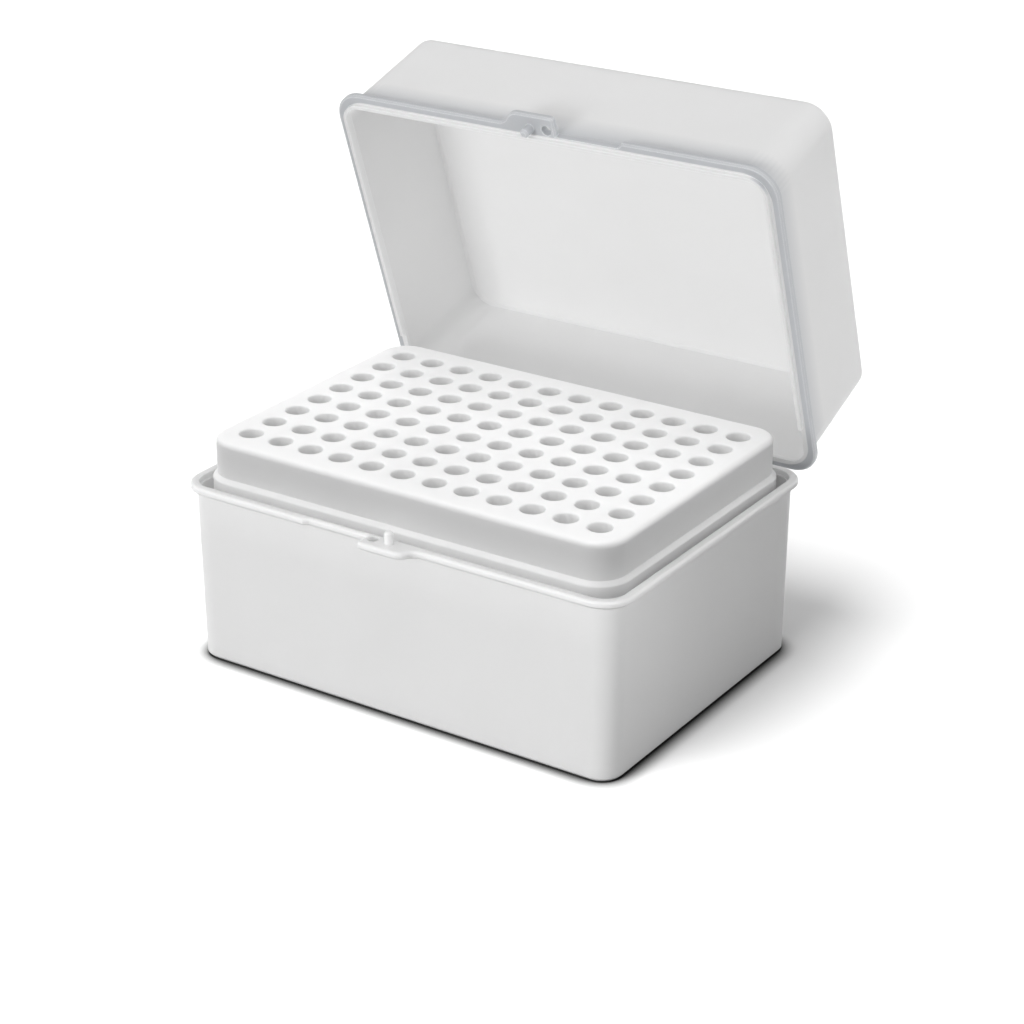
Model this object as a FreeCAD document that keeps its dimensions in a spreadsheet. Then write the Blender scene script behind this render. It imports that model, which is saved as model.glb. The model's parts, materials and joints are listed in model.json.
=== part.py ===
import FreeCAD, Part
import Sketcher
import math
import os

# Box for pipette tips in the 96-place format: a base tub, a hinged lid and a
# rack with 12 x 8 holes that sits in the base.  All sizes in millimetres.
# Origin at the centre of the foot, +Z up, the latch at -Y and the hinge at +Y.

DIMS = [
    # hole pattern
    ("pitch", 9.0),
    ("columns", 12),
    ("rows", 8),
    ("hole_dia", 6.2),
    # tip rack
    ("plate_length", 114.6),
    ("plate_width", 80.4),
    ("plate_corner", 7.3),
    ("plate_edge", 1.4),
    ("plate_thick", 2.0),
    ("skirt_wall", 1.3),
    ("shoulder_drop", 9.24),
    ("shoulder_ledge", 1.1),
    ("shoulder_bevel", 0.7),
    ("rack_above_rim", 11.3),
    ("rack_below_rim", 11.0),
    ("lattice_thick", 1.2),
    ("lattice_depth", 8.0),
    # base
    ("base_height", 46.5),
    ("rack_gap", 1.1),
    ("wall", 1.0),
    ("inner_corner", 5.0),
    ("base_draft", 0.55),
    ("floor_thick", 1.4),
    ("foot_bevel", 0.8),
    ("post_thick", 1.2),
    ("post_reach", 2.6),
    ("post_near", 18.0),
    ("post_far", 45.0),
    ("post_side", 18.0),
    # flanges of base and lid
    ("flange_overhang", 1.6),
    ("flange_thick", 1.8),
    ("flange_bevel", 0.4),
    ("rebate_width", 0.5),
    ("rebate_depth", 1.3),
    # lid
    ("lid_height", 32.5),
    ("lid_draft", 1.0),
    ("lid_corner", 7.6),
    ("lid_edge", 1.5),
    ("lid_top", 1.1),
    ("lid_inner_bevel", 0.6),
    ("seat_gap", 0.3),
    ("lip_thick", 0.85),
    ("lip_depth", 1.1),
    ("lip_bond", 1.0),
    ("lip_clearance", 0.2),
    ("lip_end", 30.0),
    # latch
    ("latch_centre", -1.3),
    ("latch_half", 2.3),
    ("latch_inset", 0.1),
    ("peg_dia", 2.3),
    ("peg_height", 3.0),
    ("peg_bevel", 0.5),
    ("peg_clearance", 0.2),
    ("socket_ring", 0.6),
    ("socket_rise", 0.5),
    ("tab_reach", 3.5),
    ("tab_blunt", 4.6),
    ("tab_corner", 1.0),
    ("tab_flat", 5.6),
    ("tab_tail", 11.6),
    ("notch_end", 21.5),
    ("notch_tail", 22.9),
    ("base_notch", 0.8),
    ("lid_notch", 1.5),
    # hinge
    ("hinge_station", 30.0),
    ("hinge_behind", 1.85),
    ("hinge_drop", 5.0),
    ("rod_dia", 1.5),
    ("rod_length", 12.0),
    ("ear_thick", 1.8),
    ("ear_radius", 1.4),
    ("clip_side_gap", 0.3),
    ("clip_bore_gap", 0.07),
    ("clip_wall", 0.75),
    ("clip_front", 0.05),
    ("clip_back", 1.1),
    ("heel_reach", 1.77),
    ("heel_top", 0.3),
    ("heel_bottom", 2.4),
    ("open_angle", 70.8),
]

os.makedirs("parts", exist_ok=True)
doc = FreeCAD.newDocument("tip_box")
sheet = doc.addObject("Spreadsheet::Sheet", "dims")
for row, (alias, value) in enumerate(DIMS, start=1):
    sheet.set(f"A{row}", alias)
    sheet.set(f"B{row}", str(value))
    sheet.setAlias(f"B{row}", alias)
doc.recompute()

# Sizes that follow from the driving ones, as expressions.
RIM = "dims.base_height"
RACK_TOP = f"({RIM} + dims.rack_above_rim)"
SHOULDER = f"({RACK_TOP} - dims.shoulder_drop)"
SEAT = f"({RIM} - dims.rack_below_rim)"
PLATE_BOTTOM = f"({RACK_TOP} - dims.plate_thick)"
RACK_LENGTH = "(dims.plate_length + 2 * dims.shoulder_ledge)"
RACK_WIDTH = "(dims.plate_width + 2 * dims.shoulder_ledge)"
RACK_CORNER = "(dims.plate_corner + dims.shoulder_ledge)"
INNER_LENGTH = f"({RACK_LENGTH} + 2 * dims.rack_gap)"
INNER_WIDTH = f"({RACK_WIDTH} + 2 * dims.rack_gap)"
OUTER_LENGTH = f"({INNER_LENGTH} + 2 * dims.wall)"
OUTER_WIDTH = f"({INNER_WIDTH} + 2 * dims.wall)"
OUTER_CORNER = "(dims.inner_corner + dims.wall)"
FLANGE_LENGTH = f"({OUTER_LENGTH} + 2 * dims.flange_overhang)"
FLANGE_WIDTH = f"({OUTER_WIDTH} + 2 * dims.flange_overhang)"
FLANGE_CORNER = f"({OUTER_CORNER} + dims.flange_overhang)"
LID_RIM = f"({RIM} + dims.seat_gap)"
LID_TOP = f"({LID_RIM} + dims.lid_height)"
LATCH_Y = f"(-{FLANGE_WIDTH} / 2 + dims.latch_inset)"
AXIS_Y = f"({OUTER_WIDTH} / 2 + dims.hinge_behind)"
AXIS_Z = f"({RIM} - dims.hinge_drop)"


# ---------------------------------------------------------------- helpers
def value_of(expression):
    return float(sheet.evalExpression(expression))


def new_sketch(body, label, plane, offset):
    """Sketch on one of the body's own planes, lifted along its normal."""
    sketch = body.newObject("Sketcher::SketchObject", label)
    origin_plane = [f for f in body.Origin.OriginFeatures if f.Role == plane][0]
    sketch.AttachmentSupport = (origin_plane, [""])
    sketch.MapMode = "FlatFace"
    sketch.setExpression("AttachmentOffset.Base.z", offset)
    return sketch


def drive(sketch, constraint, expression):
    index = sketch.addConstraint(constraint)
    sketch.setExpression(f"Constraints[{index}]", expression)


def pin(sketch, geometry, point, across, up):
    """Fix one point of a sketch at two expressions."""
    x, y = value_of(across), value_of(up)
    drive(sketch, Sketcher.Constraint("DistanceX", -1, 1, geometry, point, x), across)
    drive(sketch, Sketcher.Constraint("DistanceY", -1, 1, geometry, point, y), up)


def vector(across, up):
    return FreeCAD.Vector(value_of(across), value_of(up), 0)


def short_arc(centre, one, other):
    """The shorter arc about a centre between two points."""
    begin, end = [math.atan2(p.y - centre.y, p.x - centre.x) for p in (one, other)]
    if (end - begin) % (2 * math.pi) > math.pi:
        begin, end = end, begin
    circle = Part.Circle(centre, FreeCAD.Vector(0, 0, 1), (one - centre).Length)
    return Part.ArcOfCircle(circle, begin, begin + (end - begin) % (2 * math.pi))


def add_rounded_rectangle(sketch, length, width, corner):
    half_x, half_y = value_of(length) / 2, value_of(width) / 2
    radius = value_of(corner)
    first = sketch.GeometryCount
    corners = [(1, -1), (1, 1), (-1, 1), (-1, -1)]
    centres = [
        FreeCAD.Vector(sx * (half_x - radius), sy * (half_y - radius), 0) for sx, sy in corners
    ]
    axis = FreeCAD.Vector(0, 0, 1)
    for quarter, centre in enumerate(centres):
        start = (quarter - 1) * math.pi / 2
        circle = Part.Circle(centre, axis, radius)
        sketch.addGeometry(Part.ArcOfCircle(circle, start, start + math.pi / 2))
    for quarter in range(4):
        begin = sketch.Geometry[first + quarter].EndPoint
        end = sketch.Geometry[first + (quarter + 1) % 4].StartPoint
        sketch.addGeometry(Part.LineSegment(begin, end))
    for quarter in range(4):
        side = first + 4 + quarter
        following = first + (quarter + 1) % 4
        sketch.addConstraint(Sketcher.Constraint("Tangent", first + quarter, 2, side, 1))
        sketch.addConstraint(Sketcher.Constraint("Tangent", side, 2, following, 1))
        kind = "Vertical" if quarter % 2 == 0 else "Horizontal"
        sketch.addConstraint(Sketcher.Constraint(kind, side))
        if quarter:
            sketch.addConstraint(Sketcher.Constraint("Equal", first, first + quarter))
    sketch.addConstraint(Sketcher.Constraint("Symmetric", first, 3, first + 2, 3, -1, 1))
    drive(sketch, Sketcher.Constraint("Radius", first, radius), corner)
    right, top = first + 4, first + 5
    drive(sketch, Sketcher.Constraint("DistanceX", -1, 1, right, 1, half_x), f"{length} / 2")
    drive(sketch, Sketcher.Constraint("DistanceY", -1, 1, top, 1, half_y), f"{width} / 2")


def rounded_rectangle(body, label, length, width, corner, height):
    sketch = new_sketch(body, label, "XY_Plane", height)
    add_rounded_rectangle(sketch, length, width, corner)
    return sketch


def outlines(body, label, plane, offset, loops):
    """Sketch of closed straight-sided loops whose corners are expressions."""
    sketch = new_sketch(body, label, plane, offset)
    for loop in loops:
        first = sketch.GeometryCount
        points = [vector(*corner) for corner in loop]
        for index, point in enumerate(points):
            after = points[(index + 1) % len(points)]
            sketch.addGeometry(Part.LineSegment(point, after))
        for index, corner in enumerate(loop):
            after = first + (index + 1) % len(loop)
            sketch.addConstraint(Sketcher.Constraint("Coincident", first + index, 2, after, 1))
            pin(sketch, first + index, 1, *corner)
    return sketch


def box_loop(left, right, low, high):
    return [(left, low), (right, low), (right, high), (left, high)]


def disc(body, label, plane, offset, across, up, diameter):
    sketch = new_sketch(body, label, plane, offset)
    radius = value_of(diameter) / 2
    axis = FreeCAD.Vector(0, 0, 1)
    sketch.addGeometry(Part.Circle(vector(across, up), axis, radius))
    pin(sketch, 0, 3, across, up)
    drive(sketch, Sketcher.Constraint("Diameter", 0, 2 * radius), diameter)
    return sketch


def add_feature(body, kind, label):
    """New feature on top of what the body has so far."""
    before = body.Tip
    feature = body.newObject(f"PartDesign::{kind}", label)
    feature.BaseFeature = before
    body.Tip = feature
    return feature


def extrude(body, kind, label, sketch, length, reverse=False):
    feature = add_feature(body, kind, label)
    feature.Profile = sketch
    feature.setExpression("Length", length)
    feature.Reversed = reverse
    return feature


def taper(feature, inset, length):
    """Draft the sides of a feature so that they close in by an inset each."""
    feature.setExpression("TaperAngle", f"-atan({inset} / {length})")


def beyond(point, length, width, corner):
    """Distance of a point outside a rounded rectangle about the origin."""
    radius = value_of(corner)
    over_x = abs(point.x) - value_of(length) / 2 + radius
    over_y = abs(point.y) - value_of(width) / 2 + radius
    inside = min(max(over_x, over_y), 0)
    return math.hypot(max(over_x, 0), max(over_y, 0)) + inside - radius


def edges_at(feature, height, keep):
    """Names of the level edges at a height whose middle passes the test."""
    doc.recompute()
    level = value_of(height)
    names = []
    for index, edge in enumerate(feature.Shape.Edges, start=1):
        box = edge.BoundBox
        middle = edge.valueAt((edge.FirstParameter + edge.LastParameter) / 2)
        if abs(box.ZMin - level) < 0.001 and abs(box.ZMax - level) < 0.001 and keep(middle):
            names.append(f"Edge{index}")
    return names


def round_edges(body, label, feature, edges, radius):
    fillet = add_feature(body, "Fillet", label)
    fillet.Base = (feature, edges)
    fillet.setExpression("Radius", radius)
    return fillet


def bevel_edges(body, label, feature, edges, size):
    chamfer = add_feature(body, "Chamfer", label)
    chamfer.Base = (feature, edges)
    chamfer.setExpression("Size", size)
    return chamfer


def anywhere(point):
    return True


# ------------------------------------------------ flange, tab and finger notch
def latch_side(turn, distance):
    """Position along X of a point of the tab; turn mirrors it about the latch."""
    return f"(dims.latch_centre + {turn} * ({distance}))"


def add_tab(body, bottom, turn):
    """Latch tab: a blunt end, a straight front and a tail that sweeps back."""
    edge = f"(-{FLANGE_WIDTH} / 2)"
    front = f"({edge} - dims.tab_reach)"
    root = f"({edge} + dims.flange_overhang / 2)"
    run = value_of("dims.tab_tail - dims.tab_flat")
    reach = value_of("dims.tab_reach")
    sweep = (run**2 + reach**2) / (4 * reach)
    blunt = latch_side(turn, "-dims.tab_blunt")
    flat = latch_side(turn, "dims.tab_flat")
    tail = latch_side(turn, "dims.tab_tail")

    sketch = new_sketch(body, "tab_outline", "XY_Plane", bottom)
    corner = value_of("dims.tab_corner")
    start_x, front_y = value_of(blunt), value_of(front)
    flat_x, tail_x = value_of(flat), value_of(tail)
    edge_y = value_of(edge)
    middle = FreeCAD.Vector((flat_x + tail_x) / 2, (front_y + edge_y) / 2, 0)
    corner_centre = FreeCAD.Vector(start_x + turn * corner, front_y + corner, 0)
    first_centre = FreeCAD.Vector(flat_x, front_y + sweep, 0)
    last_centre = FreeCAD.Vector(tail_x, edge_y - sweep, 0)
    down = FreeCAD.Vector(start_x, value_of(root), 0)
    blunt_end = FreeCAD.Vector(start_x, front_y + corner, 0)
    front_start = FreeCAD.Vector(start_x + turn * corner, front_y, 0)
    front_end = FreeCAD.Vector(flat_x, front_y, 0)
    tail_end = FreeCAD.Vector(tail_x, edge_y, 0)
    back = FreeCAD.Vector(tail_x, value_of(root), 0)
    sketch.addGeometry(Part.LineSegment(down, blunt_end))
    sketch.addGeometry(short_arc(corner_centre, blunt_end, front_start))
    sketch.addGeometry(Part.LineSegment(front_start, front_end))
    sketch.addGeometry(short_arc(first_centre, front_end, middle))
    sketch.addGeometry(short_arc(last_centre, middle, tail_end))
    sketch.addGeometry(Part.LineSegment(tail_end, back))
    sketch.addGeometry(Part.LineSegment(back, down))

    def near(geometry, point):
        """Which end of a piece of the outline lies at a point."""
        shape = sketch.Geometry[geometry]
        return 1 if (shape.StartPoint - point).Length < 0.001 else 2

    joins = [
        ("Tangent", 0, 1, blunt_end),
        ("Tangent", 1, 2, front_start),
        ("Tangent", 2, 3, front_end),
        ("Tangent", 3, 4, middle),
        ("Coincident", 4, 5, tail_end),
        ("Coincident", 5, 6, back),
        ("Coincident", 6, 0, down),
    ]
    meetings = [(kind, one, near(one, at), two, near(two, at)) for kind, one, two, at in joins]
    last = near(4, tail_end)
    for meeting in meetings:
        sketch.addConstraint(Sketcher.Constraint(*meeting))
    sketch.addConstraint(Sketcher.Constraint("Equal", 3, 4))
    sketch.addConstraint(Sketcher.Constraint("Vertical", 0))
    sketch.addConstraint(Sketcher.Constraint("Horizontal", 2))
    sketch.addConstraint(Sketcher.Constraint("Vertical", 4, 3, 4, last))
    drive(sketch, Sketcher.Constraint("Radius", 1, corner), "dims.tab_corner")
    pin(sketch, 0, 1, blunt, root)
    pin(sketch, 2, 2, flat, front)
    pin(sketch, 4, last, tail, edge)
    pin(sketch, 6, 1, tail, root)
    return extrude(body, "Pad", "tab", sketch, "dims.flange_thick")


def add_flange(body, bottom, turn, notch):
    """Rim flange with the latch tab and the finger notch beside it."""
    ring = rounded_rectangle(
        body, "flange_outline", FLANGE_LENGTH, FLANGE_WIDTH, FLANGE_CORNER, bottom
    )
    extrude(body, "Pad", "flange", ring, "dims.flange_thick")
    add_tab(body, bottom, turn)
    edge = f"(-{FLANGE_WIDTH} / 2)"
    depth = f"({edge} + {notch})"
    clear = f"({edge} - dims.flange_overhang)"
    blunt = latch_side(turn, "-dims.tab_blunt")
    end = latch_side(turn, "-dims.notch_end")
    tail = latch_side(turn, "-dims.notch_tail")
    cut = outlines(
        body, "notch_outline", "XY_Plane", bottom,
        [[(blunt, depth), (end, depth), (tail, edge), (tail, clear), (blunt, clear)]],
    )
    finger_notch = extrude(body, "Pocket", "notch", cut, "dims.flange_thick", reverse=True)
    least = value_of("dims.flange_overhang") / 3

    def outer(point):
        return beyond(point, OUTER_LENGTH, OUTER_WIDTH, OUTER_CORNER) > least

    edges = edges_at(finger_notch, bottom, outer)
    edges += edges_at(finger_notch, f"({bottom} + dims.flange_thick)", outer)
    return bevel_edges(body, "flange_edge", finger_notch, edges, "dims.flange_bevel")


def add_peg(body, x, start, reverse):
    sketch = disc(body, "peg_circle", "XY_Plane", start, x, LATCH_Y, "dims.peg_dia")
    peg = extrude(body, "Pad", "peg", sketch, "dims.peg_height", reverse)
    end = f"({start} {'-' if reverse else '+'} dims.peg_height)"
    return bevel_edges(body, "peg_point", peg, edges_at(peg, end, anywhere), "dims.peg_bevel")


def add_socket(body, x, start):
    """Through hole in the flange for the other moulding's peg."""
    width = "(dims.peg_dia + 2 * dims.peg_clearance)"
    sketch = disc(body, "socket_circle", "XY_Plane", start, x, LATCH_Y, width)
    depth = "(dims.flange_thick + dims.socket_rise)"
    return extrude(body, "Pocket", "socket", sketch, depth, reverse=True)


# -------------------------------------------------------------------- base
def hinge_y(offset):
    return f"({AXIS_Y} + {offset})"


def hinge_z(offset):
    return f"({AXIS_Z} + {offset})"


def build_base():
    body = doc.addObject("PartDesign::Body", "base")
    flange_bottom = f"({RIM} - dims.flange_thick)"
    rim = rounded_rectangle(body, "rim_outline", OUTER_LENGTH, OUTER_WIDTH, OUTER_CORNER, RIM)
    tub = extrude(body, "Pad", "tub", rim, RIM, reverse=True)
    taper(tub, "dims.base_draft", RIM)
    bevel_edges(body, "foot_edge", tub, edges_at(tub, "0", anywhere), "dims.foot_bevel")
    add_flange(body, flange_bottom, 1, "dims.base_notch")

    mouth = rounded_rectangle(
        body, "cavity_mouth", INNER_LENGTH, INNER_WIDTH, "dims.inner_corner", RIM
    )
    depth = f"({RIM} - dims.floor_thick)"
    taper(extrude(body, "Pocket", "cavity", mouth, depth), "dims.base_draft", RIM)
    rebate = rounded_rectangle(
        body, "rebate_outline", f"({INNER_LENGTH} + 2 * dims.rebate_width)",
        f"({INNER_WIDTH} + 2 * dims.rebate_width)", "(dims.inner_corner + dims.rebate_width)",
        RIM,
    )
    extrude(body, "Pocket", "rebate", rebate, "dims.rebate_depth")

    # Posts along the walls carry the lower edge of the rack.
    wall_x = f"({INNER_LENGTH} / 2)"
    wall_y = f"({INNER_WIDTH} / 2)"
    half = "dims.post_thick / 2"
    loops = []
    for side in (-1, 1):
        for along in ("-dims.post_far", "-dims.post_near", "dims.post_near", "dims.post_far"):
            inner = f"({side} * ({wall_y} - dims.post_reach))"
            outer = f"({side} * {wall_y})"
            loops.append(box_loop(f"({along} - {half})", f"({along} + {half})", inner, outer))
        for along in ("-dims.post_side", "dims.post_side"):
            inner = f"({side} * ({wall_x} - dims.post_reach))"
            outer = f"({side} * {wall_x})"
            loops.append(box_loop(inner, outer, f"({along} - {half})", f"({along} + {half})"))
    start = "(dims.floor_thick / 2)"
    posts = outlines(body, "post_outlines", "XY_Plane", start, loops)
    extrude(body, "Pad", "posts", posts, f"({SEAT} - {start})")

    add_peg(body, "(dims.latch_centre + dims.latch_half)", RIM, False)
    add_socket(body, "(dims.latch_centre - dims.latch_half)", flange_bottom)
    for station in (-1, 1):
        add_ears(body, station)
    return body


def add_ears(body, station):
    """Two ears under the rear flange with the hinge rod between them."""
    centre = f"({station} * dims.hinge_station)"
    root = "(-dims.hinge_behind - dims.wall / 2)"
    under = "(dims.hinge_drop - dims.flange_thick / 2)"
    slope = "(dims.ear_radius * 0.7)"
    edge = "(dims.flange_overhang - dims.hinge_behind - dims.flange_bevel)"
    corners = [
        (hinge_y(root), hinge_z(under)),
        (hinge_y(edge), hinge_z(under)),
        (hinge_y(slope), hinge_z(slope)),
        (hinge_y(slope), hinge_z(f"(-{slope})")),
        (AXIS_Y, hinge_z("(-dims.ear_radius)")),
        (hinge_y(root), hinge_z("(-dims.ear_radius - dims.hinge_behind)")),
    ]
    for side in (-1, 1):
        near = f"({centre} + {side} * dims.rod_length / 2)"
        web = outlines(body, "ear_outline", "YZ_Plane", near, [corners])
        extrude(body, "Pad", "ear", web, "dims.ear_thick", reverse=side < 0)
        boss = disc(body, "boss_circle", "YZ_Plane", near, AXIS_Y, AXIS_Z, "dims.ear_radius * 2")
        extrude(body, "Pad", "boss", boss, "dims.ear_thick", reverse=side < 0)
    start = f"({centre} - dims.rod_length / 2 - dims.ear_thick / 2)"
    rod = disc(body, "rod_circle", "YZ_Plane", start, AXIS_Y, AXIS_Z, "dims.rod_dia")
    extrude(body, "Pad", "rod", rod, "(dims.rod_length + dims.ear_thick)")


# --------------------------------------------------------------------- lid
def build_lid():
    """Lid in its closed place; the body's placement then swings it open."""
    body = doc.addObject("PartDesign::Body", "lid")
    rim = rounded_rectangle(
        body, "rim_outline", OUTER_LENGTH, OUTER_WIDTH, "dims.lid_corner", LID_RIM
    )
    shell = extrude(body, "Pad", "shell", rim, "dims.lid_height")
    taper(shell, "dims.lid_draft", "dims.lid_height")
    round_edges(body, "top_edge", shell, edges_at(shell, LID_TOP, anywhere), "dims.lid_edge")
    add_flange(body, LID_RIM, -1, "dims.lid_notch")

    ceiling = f"({LID_TOP} - dims.lid_top)"
    mouth = rounded_rectangle(
        body, "cavity_mouth", INNER_LENGTH, INNER_WIDTH, "(dims.lid_corner - dims.wall)", LID_RIM
    )
    depth = "(dims.lid_height - dims.lid_top)"
    cavity = extrude(body, "Pocket", "cavity", mouth, depth, reverse=True)
    taper(cavity, "dims.lid_draft", "dims.lid_height")
    edges = edges_at(cavity, ceiling, anywhere)
    bevel_edges(body, "ceiling_edge", cavity, edges, "dims.lid_inner_bevel")

    # Nesting lip that drops into the rebate of the base, left off at the rear.
    lip_length = f"({INNER_LENGTH} + 2 * dims.rebate_width - 2 * dims.lip_clearance)"
    lip_width = f"({INNER_WIDTH} + 2 * dims.rebate_width - 2 * dims.lip_clearance)"
    lip_corner = "(dims.inner_corner + dims.rebate_width - dims.lip_clearance)"
    lip_bottom = f"({LID_RIM} - dims.lip_depth)"
    lip = new_sketch(body, "lip_outline", "XY_Plane", lip_bottom)
    add_rounded_rectangle(lip, lip_length, lip_width, lip_corner)
    add_rounded_rectangle(
        lip, f"({lip_length} - 2 * dims.lip_thick)", f"({lip_width} - 2 * dims.lip_thick)",
        f"({lip_corner} - dims.lip_thick)",
    )
    extrude(body, "Pad", "lip", lip, "(dims.lip_depth + dims.lip_bond)")
    wide = f"({OUTER_LENGTH} / 2)"
    rear = box_loop(f"(-{wide})", wide, "dims.lip_end", f"({OUTER_WIDTH} / 2)")
    cut = outlines(body, "lip_gap_outline", "XY_Plane", LID_RIM, [rear])
    extrude(body, "Pocket", "lip_gap", cut, "dims.lip_depth * 2")

    socket_x = "(dims.latch_centre + dims.latch_half)"
    ring_width = "(dims.peg_dia + 2 * dims.peg_clearance + 2 * dims.socket_ring)"
    ring = disc(body, "ring_circle", "XY_Plane", LID_RIM, socket_x, LATCH_Y, ring_width)
    extrude(body, "Pad", "ring", ring, "(dims.flange_thick + dims.socket_rise)")
    add_socket(body, socket_x, LID_RIM)
    add_peg(body, "(dims.latch_centre - dims.latch_half)", LID_RIM, True)
    for station in (-1, 1):
        add_clip(body, station)
    return body


def add_clip(body, station):
    """Snap clip: an arm from the rear flange, a split ring and a stop heel."""
    width = "(dims.rod_length - 2 * dims.clip_side_gap)"
    start = f"({station} * dims.hinge_station - {width} / 2)"
    bore = "(dims.rod_dia + 2 * dims.clip_bore_gap)"
    radius = "(dims.rod_dia / 2 + dims.clip_bore_gap + dims.clip_wall)"
    under = f"({LID_RIM})"
    arm = [
        (hinge_y("dims.clip_front"), f"({LID_RIM} + dims.flange_thick)"),
        (hinge_y("dims.clip_front"), hinge_z(f"({radius} * 0.68)")),
        (hinge_y("dims.clip_back"), hinge_z(f"({radius} * 0.36)")),
        (hinge_y("dims.clip_back"), f"({LID_RIM} + dims.flange_thick)"),
    ]
    root = "(dims.flange_overhang - dims.hinge_behind - dims.flange_overhang / 2)"
    shelf = [
        (hinge_y(root), under),
        (hinge_y("dims.clip_back"), under),
        (hinge_y("dims.clip_back"), f"({LID_RIM} + dims.flange_thick)"),
        (hinge_y(root), f"({LID_RIM} + dims.flange_thick)"),
    ]

    # The stop facet faces straight forward once the lid stands open.
    lean_y = "(-cos(dims.open_angle * 1 deg))"
    lean_z = "(-sin(dims.open_angle * 1 deg))"

    def facet(along):
        """Point of the facet, measured along it from the foot of its normal."""
        across = f"(dims.heel_reach * {lean_y} - {along} * {lean_z})"
        up = f"(dims.heel_reach * {lean_z} + {along} * {lean_y})"
        return hinge_y(across), hinge_z(up)

    heel = [
        facet("(-dims.heel_top)"),
        facet("dims.heel_bottom"),
        (hinge_y(radius), AXIS_Z),
        (hinge_y("dims.clip_back"), hinge_z("dims.clip_back")),
        (AXIS_Y, AXIS_Z),
    ]
    mouth = [
        (AXIS_Y, AXIS_Z),
        (hinge_y(f"({radius} * 0.09)"), hinge_z(f"({radius} * 1.02)")),
        (hinge_y(f"(-{radius} * 1.5)"), hinge_z(f"({radius} * 1.5)")),
        (hinge_y(f"(-{radius} * 1.02)"), hinge_z(f"(-{radius} * 0.14)")),
    ]
    ring = disc(body, "clip_circle", "YZ_Plane", start, AXIS_Y, AXIS_Z, f"(2 * {radius})")
    extrude(body, "Pad", "clip", ring, width)
    profile = outlines(body, "heel_outline", "YZ_Plane", start, [heel])
    extrude(body, "Pad", "heel", profile, width)
    cut = outlines(body, "mouth_outline", "YZ_Plane", start, [mouth])
    extrude(body, "Pocket", "mouth", cut, width, reverse=True)
    hole = disc(body, "bore_circle", "YZ_Plane", start, AXIS_Y, AXIS_Z, bore)
    extrude(body, "Pocket", "bore", hole, width, reverse=True)
    for label, corners in (("arm", arm), ("shelf", shelf)):
        profile = outlines(body, f"{label}_outline", "YZ_Plane", start, [corners])
        extrude(body, "Pad", label, profile, width)


# ---------------------------------------------------------------- tip rack
def build_tip_rack():
    body = doc.addObject("PartDesign::Body", "tip_rack")
    skirt = rounded_rectangle(
        body, "skirt_outline", RACK_LENGTH, RACK_WIDTH, RACK_CORNER, SEAT
    )
    lower = extrude(body, "Pad", "skirt", skirt, f"({SHOULDER} - {SEAT})")
    edges = edges_at(lower, SHOULDER, anywhere)
    bevel_edges(body, "shoulder_edge", lower, edges, "dims.shoulder_bevel")
    plate = rounded_rectangle(
        body, "plate_outline", "dims.plate_length", "dims.plate_width", "dims.plate_corner",
        f"({SHOULDER} - dims.skirt_wall)",
    )
    upper = extrude(body, "Pad", "plate", plate, "(dims.shoulder_drop + dims.skirt_wall)")
    edges = edges_at(upper, RACK_TOP, anywhere)
    round_edges(body, "plate_edge", upper, edges, "dims.plate_edge")

    inner = rounded_rectangle(
        body, "inner_outline", "(dims.plate_length - 2 * dims.skirt_wall)",
        "(dims.plate_width - 2 * dims.skirt_wall)", "(dims.plate_corner - dims.skirt_wall)",
        SEAT,
    )
    extrude(body, "Pocket", "inside", inner, f"({PLATE_BOTTOM} - {SEAT})", reverse=True)
    lower_inner = rounded_rectangle(
        body, "lower_inner_outline", f"({RACK_LENGTH} - 2 * dims.skirt_wall)",
        f"({RACK_WIDTH} - 2 * dims.skirt_wall)", f"({RACK_CORNER} - dims.skirt_wall)", SEAT,
    )
    rise = f"({SHOULDER} - dims.skirt_wall - {SEAT})"
    extrude(body, "Pocket", "lower_inside", lower_inner, rise, reverse=True)

    first_x = "(-(dims.columns - 1) * dims.pitch / 2)"
    first_y = "(-(dims.rows - 1) * dims.pitch / 2)"
    circle = disc(body, "hole_circle", "XY_Plane", RACK_TOP, first_x, first_y, "dims.hole_dia")
    hole = extrude(body, "Pocket", "hole", circle, "dims.plate_thick * 1.5")
    pattern = add_feature(body, "LinearPattern", "holes")
    pattern.Originals = [hole]
    pattern.Direction = (circle, ["H_Axis"])
    pattern.Direction2 = (circle, ["V_Axis"])
    for suffix, count in (("", "dims.columns"), ("2", "dims.rows")):
        pattern.setExpression(f"Length{suffix}", f"({count} - 1) * dims.pitch")
        pattern.setExpression(f"Occurrences{suffix}", count)

    # Lattice of ribs between the holes, hanging from the plate.
    reach_x = "(dims.plate_length / 2 - dims.skirt_wall / 2)"
    reach_y = "(dims.plate_width / 2 - dims.skirt_wall / 2)"
    start = f"({PLATE_BOTTOM} - dims.lattice_depth)"
    half = "dims.lattice_thick / 2"
    depth = "(dims.lattice_depth + dims.plate_thick / 4)"
    columns, rows = int(value_of("dims.columns")), int(value_of("dims.rows"))
    cross = [
        box_loop(f"({first_x} + {step + 0.5} * dims.pitch - {half})",
                 f"({first_x} + {step + 0.5} * dims.pitch + {half})",
                 f"(-{reach_y})", reach_y)
        for step in range(columns - 1)
    ]
    along = [
        box_loop(f"(-{reach_x})", reach_x,
                 f"({first_y} + {step + 0.5} * dims.pitch - {half})",
                 f"({first_y} + {step + 0.5} * dims.pitch + {half})")
        for step in range(rows - 1)
    ]
    for label, loops in (("cross_ribs", cross), ("long_ribs", along)):
        sketch = outlines(body, f"{label}_outline", "XY_Plane", start, loops)
        extrude(body, "Pad", label, sketch, depth)
    return body


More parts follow.
